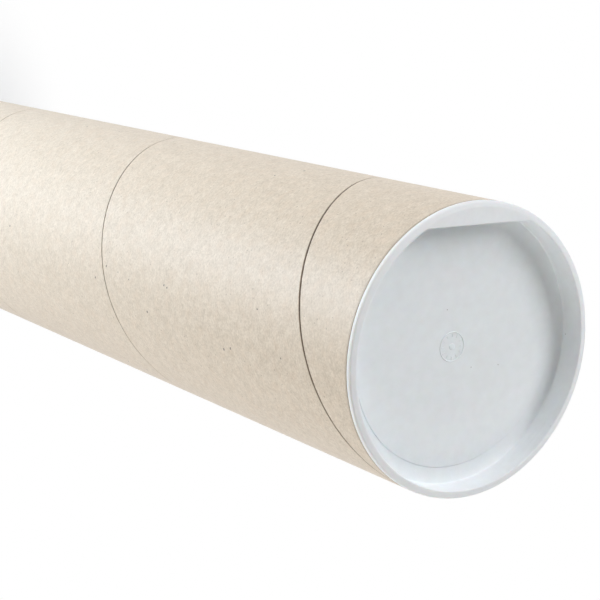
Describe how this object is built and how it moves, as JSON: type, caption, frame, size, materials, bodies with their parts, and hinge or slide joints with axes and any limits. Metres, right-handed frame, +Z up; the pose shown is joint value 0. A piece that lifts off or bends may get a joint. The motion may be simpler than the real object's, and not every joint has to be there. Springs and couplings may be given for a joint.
{
  "type": "cardboard mailing tube",
  "caption": "Spiral-wound kraft cardboard mailing tube, closed at both ends by push-in plastic plugs with a shallow recess and a grip shelf.",
  "frame": {"origin": "centre of the bottom plug's outer face, on the surface that the tube stands on", "axes": "+Z up along the tube's axis; +Y towards the side on which both plugs have their grip shelf"},
  "size_m": [0.104, 0.104, 0.6348],
  "materials": {
    "kraft_paperboard": "smooth light kraft paper, matt, with fine fibres",
    "white_plastic": "satin moulded polyethylene"
  },
  "bodies": {
    "tube": {"tube": "kraft_paperboard"},
    "top_plug": {"top_plug": "white_plastic"},
    "bottom_plug": {"bottom_plug": "white_plastic"}
  },
  "joints": [
    {"name": "top_plug_pull", "type": "slide", "parent": "tube", "child": "top_plug", "axis": [0, 0, 1], "range_m": [0, 0.12]},
    {"name": "bottom_plug_pull", "type": "slide", "parent": "tube", "child": "bottom_plug", "axis": [0, 0, -1], "range_m": [0, 0.12]}
  ]
}
